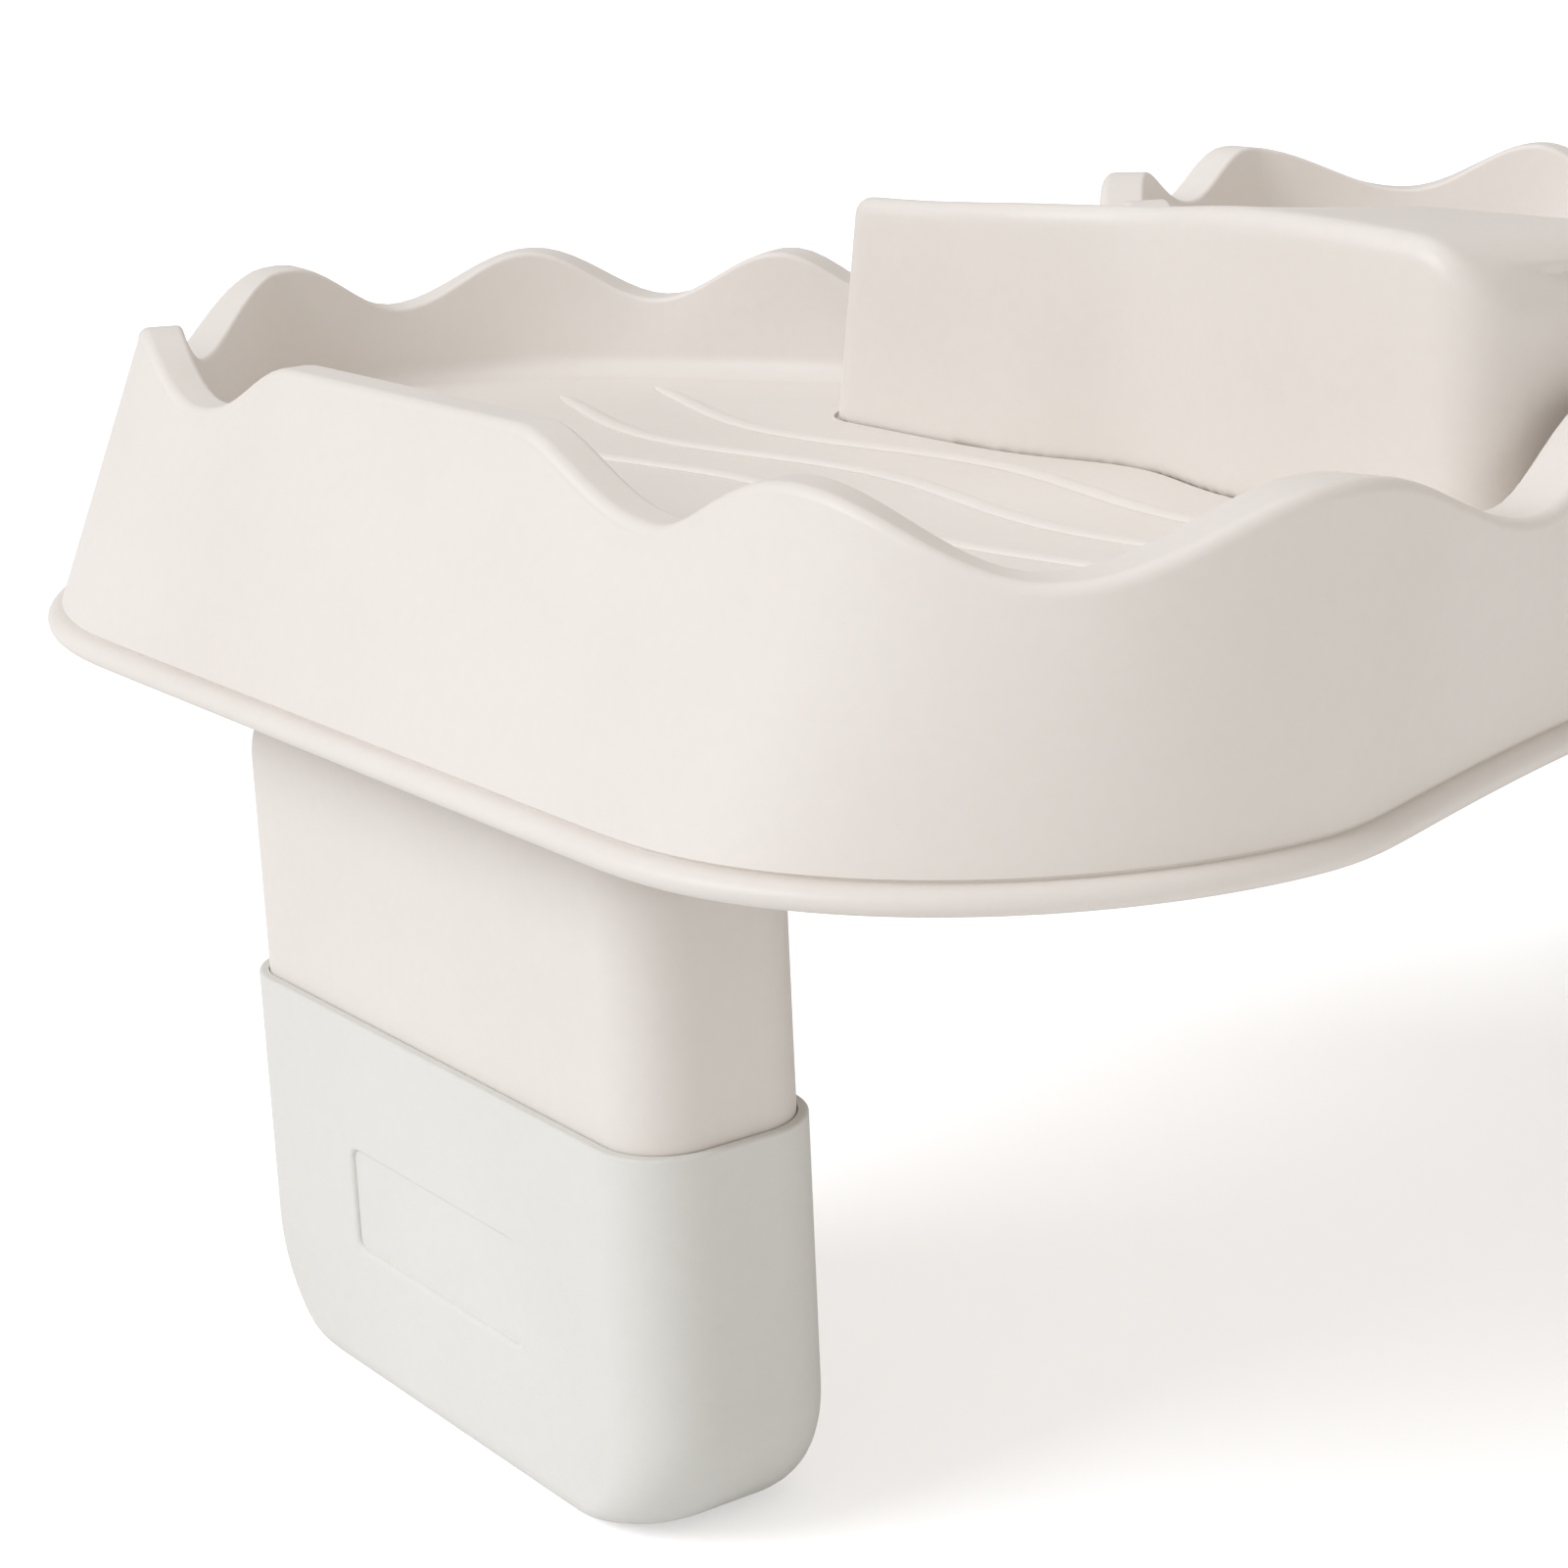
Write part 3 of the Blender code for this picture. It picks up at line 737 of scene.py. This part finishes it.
def holder_outline(inset, drawn_out=0.0, steps=corner_steps):
    """Plan of the cup holder, with round corners, a soft waist in each side and a bowed near end."""
    x_high = holder_width / 2
    y_high = holder_far_end + drawn_out
    points = []
    small = holder_far_corner - inset
    large = holder_near_corner - inset
    top = y_high - holder_far_corner
    bottom = holder_near_end + holder_near_corner
    for i in range(steps + 1):
        angle = math.radians(90) * i / steps
        x = x_high - holder_far_corner + small * math.sin(angle)
        points.append((x, top + small * math.cos(angle)))
    for i in range(1, side_steps):
        y = top + (bottom - holder_near_bow - top) * i / side_steps
        reach = abs(y - holder_middle) / holder_groove_width
        dent = holder_groove * math.exp(-2 * reach * reach)
        points.append((x_high - inset - dent, y))
    for i in range(2 * steps + 1):
        angle = math.radians(90) * i / (2 * steps)
        x = x_high - holder_near_corner + large * math.cos(angle)
        points.append((x, bottom - large * math.sin(angle) - near_bow(x)))
    for i in range(1, end_steps):
        x = (x_high - holder_near_corner) * (1 - i / end_steps)
        points.append((x, bottom - large - near_bow(x)))
    return points + [(-x, y) for x, y in reversed(points)]


def holder_height(x, y):
    """Height of the cup holder's top, which falls away from the -X side and at the near end."""
    bend = max(holder_near_end + holder_near_bend - y - near_bow(x), 0.0) / holder_near_bend
    away = min(abs(y - holder_crown_place) / holder_crown_reach, 1.0)
    crown = holder_crown * (1 + math.cos(math.pi * away)) / 2
    far_share = 0.5 + 0.5 * math.tanh((y - holder_fall_place) / holder_fall_reach)
    fall = holder_near_fall + (holder_fall - holder_near_fall) * far_share
    lost = fall * (x + holder_width / 2)
    return floor_top + holder_top + crown - lost - holder_near_drop * bend * bend


def holder_ring(inset, drop):
    return [(x, y, holder_height(x, y) - drop) for x, y in holder_outline(inset)]


def cup_holder():
    """The lift-out holder: a hollow block with two round wells."""
    seat = floor_top - recess_depth + gap
    high = floor_top + holder_top + holder_crown + overrun
    rings = [[(x, y, seat) for x, y in holder_outline(0, holder_far_draft)]]
    for across, up in arc(arc_steps):
        rings.append(holder_ring(holder_round * (1 - across), holder_round * (1 - up)))
    holder = loft("cup_holder_body", rings, strips=True)
    hollow_rings = [
        [(x, y, seat - overrun) for x, y in holder_outline(holder_wall, holder_far_draft)],
        holder_ring(holder_wall, holder_round + holder_wall / 2),
        holder_ring(holder_round, holder_wall),
    ]
    hollow = loft("hollow", hollow_rings, strips=True)
    wells = [holder_middle + side * well_spacing / 2 for side in (-1, 1)]
    for y in wells:
        cut(hollow, prism("core", circle(0, y, well_radius + holder_wall), seat - 2 * overrun, high))
    cut(holder, hollow)
    toe_low = holder_near_end - 2 * holder_near_bow
    toe = rounded_box(-holder_width, holder_width, toe_low, holder_near_end + relief_depth, gap)
    cut(holder, prism("relief", toe, seat - overrun, floor_top + relief_height))
    for y in wells:
        cut(holder, prism("well", circle(0, y, well_radius), seat + well_floor, high))
    return softened(holder, holder_voxel, holder_smooth_rounds)


# Legs, sleeves and knobs


def leg_rings(middle, grow, low, high, foot_corner, foot_round, top_round, lead=1):
    """Rings of a flat leg from its foot to its top. Lead -1 gives them from the top down."""
    half_thick = leg_thick / 2 + grow
    half_wide = leg_width / 2 + grow
    corner = leg_corner + grow
    rings = []

    def plan(inset_wide, inset_all, z):
        x_low = middle - half_thick + inset_all
        x_high = middle + half_thick - inset_all
        y_high = half_wide - inset_wide
        radius = min(corner - inset_all, half_thick - inset_all - gap)
        outline = rounded_box(x_low, x_high, leg_across - y_high, leg_across + y_high, radius)
        rings.append([(x, y, z) for x, y in outline])

    for i in range(foot_steps + 1):
        angle = math.radians(90) * i / foot_steps
        rise = foot_corner * (1 - math.cos(angle))
        inset_wide = foot_corner * (1 - math.sin(angle))
        lower = max(foot_round - rise, 0.0)
        inset_all = foot_round - math.sqrt(max(foot_round * foot_round - lower * lower, 0.0))
        plan(inset_wide + inset_all, inset_all, low + rise)
    steps = 2 * arc_steps
    for i in range(steps + 1):
        angle = math.radians(90) * i / steps
        turned = 1 - math.cos(angle)
        edge = min(leg_top_edge, top_round)
        plan(top_round * turned, edge * turned, high - top_round * (1 - math.sin(angle)))
    return rings[::lead]


def leg(side, word):
    """A hollow leg with the stem on top that carries its slide bar."""
    middle = side * leg_middle
    lane = lane_place(side)
    outside = leg_rings(middle, 0.0, leg_foot, leg_top, leg_foot_corner, leg_wall, leg_top_round)
    made = loft(f"{word}_leg_body", outside)
    room_low = leg_foot - leg_wall
    room_high = leg_top - leg_top_round
    inside = leg_rings(middle, -leg_wall, room_low, room_high, leg_foot_corner - leg_wall, gap, gap)
    cut(made, loft("inside", inside))
    x_range = (middle - neck_length / 2, middle + neck_length / 2)
    stem = rounded_box(*x_range, lane - bar_width / 2, lane + bar_width / 2, bar_corner)
    fuse(made, prism("stem", stem, leg_top - leg_wall, bar_under - gap))
    return made


def sleeve(side, word):
    """A soft sleeve over the leg's foot, with a bare recessed panel on its outer face."""
    middle = side * leg_middle
    outer_corner = leg_foot_corner + sleeve_wall
    inner_corner = leg_foot_corner + gap
    outside = leg_rings(middle, sleeve_wall, 0.0, sleeve_height, outer_corner, sleeve_round, sleeve_edge)
    inside = leg_rings(middle, gap, sleeve_base, sleeve_height, inner_corner, leg_wall, gap / 3, -1)
    made = loft(f"{word}_sleeve_body", outside + inside[1:])
    face = side * (leg_middle + leg_thick / 2 + sleeve_wall)
    panel_low = sleeve_height - panel_top_drop - panel_height
    rings = []
    for share in (-1.0, 0.0, 0.25, 0.5, 0.75, 1.0):
        spread = panel_edge * (1 - math.sin(math.pi / 2 * max(share, 0.0)))
        depth = panel_depth * (1 - math.cos(math.pi / 2 * share)) if share > 0 else share * overrun
        outline = rounded_box(
            lane_middle + panel_shift - panel_width / 2 - spread,
            lane_middle + panel_shift + panel_width / 2 + spread,
            panel_low - spread,
            panel_low + panel_height + spread,
            panel_corner + spread,
            arc_steps,
        )
        rings.append([(face - side * depth, y, z) for y, z in outline])
    cut(made, loft("panel", rings))
    return made


def knob(side, word):
    """A knob with finger lobes, a dished face below and a socket for its stud above."""
    x_middle = side * (plate_length / 2 + gap)
    y_middle = lane_place(side)
    top = plate_under - lock_boss_height - gap
    low = top - knob_height
    count = 20 * knob_lobes

    def ring(share, z, lobed=1.0):
        points = []
        for i in range(count):
            angle = math.tau * i / count
            lobe = lobed * knob_lobe_share * math.cos(knob_lobes * angle)
            reach = share * knob_radius * (1 - knob_lobe_share + lobe)
            points.append((x_middle + reach * math.cos(angle), y_middle + reach * math.sin(angle), z))
        return points

    edge = knob_edge / knob_radius
    rings = [ring(share, low + knob_edge * rise, 0.0) for share, rise in dish_shares]
    for across, up in arc(arc_steps):
        rings.append(ring(1 - edge * (1 - up), low + knob_edge * (1 - across)))
    for across, up in arc(arc_steps):
        rings.append(ring(1 - edge * (1 - across), top - knob_edge * (1 - up)))
    made = loft(f"{word}_knob_body", rings)
    socket = circle(x_middle, y_middle, stud_radius + gap, screw_steps)
    cut(made, prism("socket", socket, top - knob_socket - gap, top + overrun))
    return made


# Stage


def add_stage():
    """A pale floor that the camera sees a little brighter than its light makes it."""
    half = floor_reach / 2
    corners = [(-half, -half, 0.0), (half, -half, 0.0), (half, half, 0.0), (-half, half, 0.0)]
    mesh = bpy.data.meshes.new("studio_floor")
    mesh.from_pydata(corners, [], [(0, 1, 2, 3)])
    floor = bpy.data.objects.new("studio_floor", mesh)
    bpy.context.scene.collection.objects.link(floor)
    paper = bpy.data.materials.new("studio_paper")
    paper.use_nodes = True
    tree = paper.node_tree
    tree.nodes.remove(tree.nodes["Principled BSDF"])
    plain = node(tree, "ShaderNodeBsdfDiffuse", Color=(floor_grey, floor_grey, floor_grey, 1.0))
    glow = node(tree, "ShaderNodeEmission", Color=(1.0, 1.0, 1.0, 1.0))
    path = node(tree, "ShaderNodeLightPath")
    lift = node(tree, "ShaderNodeMath", operation="MULTIPLY")
    lift.inputs[1].default_value = floor_lift
    tree.links.new(path.outputs["Is Camera Ray"], lift.inputs[0])
    tree.links.new(lift.outputs[0], glow.inputs["Strength"])
    both = node(tree, "ShaderNodeAddShader")
    tree.links.new(plain.outputs[0], both.inputs[0])
    tree.links.new(glow.outputs[0], both.inputs[1])
    tree.links.new(both.outputs[0], tree.nodes["Material Output"].inputs["Surface"])
    mesh.materials.append(paper)


def add_sun(name, strength, spread, direction, color):
    lamp = bpy.data.lights.new(name, "SUN")
    lamp.energy = strength
    lamp.angle = math.radians(spread)
    lamp.color = color
    made = bpy.data.objects.new(name, lamp)
    made.rotation_euler = Vector(direction).to_track_quat("Z", "Y").to_euler()
    bpy.context.scene.collection.objects.link(made)


def add_light():
    world = bpy.data.worlds.new("studio")
    world.use_nodes = True
    sky = world.node_tree.nodes["Background"]
    sky.inputs["Color"].default_value = (*sky_color, 1.0)
    sky.inputs["Strength"].default_value = sky_strength
    bpy.context.scene.world = world
    add_sun("key", key_strength, key_spread, key_from, key_color)
    add_sun("fill", fill_strength, fill_spread, fill_from, fill_color)
    add_sun("top", top_strength, top_spread, top_from, top_color)


def add_camera():
    data = bpy.data.cameras.new("photo_camera")
    data.sensor_width = camera_sensor
    data.lens = camera_lens
    data.clip_start = camera_near
    data.clip_end = 2 * floor_reach
    camera = bpy.data.objects.new("photo_camera", data)
    turn = Matrix.Rotation(math.radians(camera_yaw), 4, "Z")
    tilt = Matrix.Rotation(math.radians(90 + camera_pitch), 4, "X")
    roll = Matrix.Rotation(math.radians(camera_roll), 4, "Z")
    camera.matrix_world = Matrix.Translation(camera_place) @ turn @ tilt @ roll
    bpy.context.scene.collection.objects.link(camera)
    bpy.context.scene.camera = camera


def dress_cad_nodes(looks):
    """Gives each CAD node that stays its material, and a small bevel."""
    slots = {part["node"]: part["material_slot"] for part in frame["record"]["subparts"]}
    for name, piece in frame["nodes"].items():
        if piece.hide_render:
            continue
        piece.data.materials.clear()
        piece.data.materials.append(looks[slots[name]])
        bevel = piece.modifiers.new("edge", "BEVEL")
        bevel.width = edge_bevel
        bevel.segments = edge_segments
        bevel.limit_method = "ANGLE"
        bevel.angle_limit = math.radians(edge_angle)
        bevel.harden_normals = False
        piece.data.shade_smooth()
        piece.data.set_sharp_from_angle(angle=math.radians(smooth_angle))
        evened(piece)


def build():
    looks = make_materials()
    plastic = looks["tray_plastic"]
    finish_piece(tray_shell(), "tray", "tray_plastic", plastic, "tray_shell")
    finish_piece(cup_holder(), "cup_holder", "tray_plastic", plastic, "cup_holder")
    for side, word in ((-1, "left"), (1, "right")):
        for index in range(rib_count):
            finish_piece(floor_rib(side, index), "tray", "tray_plastic", plastic)
        finish_piece(leg(side, word), f"{word}_leg_slide", "tray_plastic", plastic, f"{word}_leg")
        rubber = looks["sleeve_rubber"]
        finish_piece(sleeve(side, word), f"{word}_sleeve", "sleeve_rubber", rubber, f"{word}_sleeve")
        finish_piece(knob(side, word), f"{word}_knob", "tray_plastic", plastic, f"{word}_lock_knob")
    dress_cad_nodes(looks)
    add_stage()
    add_light()
    add_camera()
    bpy.context.scene.view_settings.view_transform = "Standard"


build()
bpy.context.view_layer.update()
